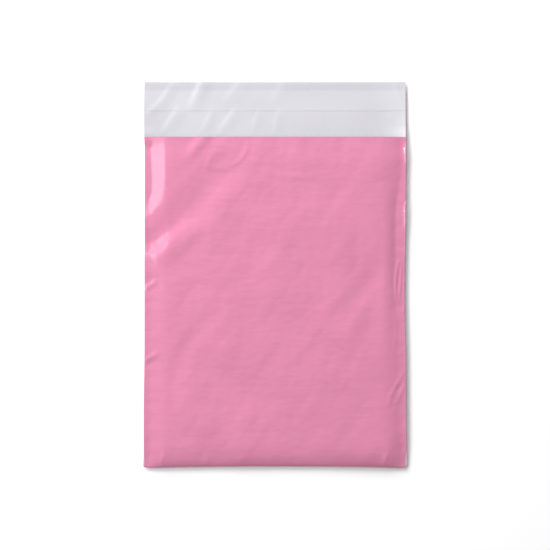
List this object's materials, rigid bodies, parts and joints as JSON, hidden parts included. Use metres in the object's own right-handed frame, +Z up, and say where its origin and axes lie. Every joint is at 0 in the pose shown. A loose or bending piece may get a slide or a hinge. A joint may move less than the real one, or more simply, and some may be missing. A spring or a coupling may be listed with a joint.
{
  "type": "poly mailer bag",
  "caption": "Flat glossy film mailing bag, open at the mouth, with an extended flap that carries a peel-and-seal adhesive band.",
  "frame": {"origin": "middle of the bag's footprint, on the surface that it lies on", "axes": "+X across the bag, +Y from the bottom fold to the flap's end, +Z up from the surface, out of the front ply"},
  "size_m": [0.2406, 0.3502, 0.008],
  "materials": {
    "pink_film": "glossy opaque polyethylene film, pink outside and greyish white inside",
    "adhesive": "clear hot-melt adhesive, slightly yellow",
    "liner": "satin white silicone-coated film"
  },
  "bodies": {
    "root": {"film_bag": "pink_film", "adhesive_strip": "adhesive", "release_liner": "liner"}
  },
  "joints": []
}
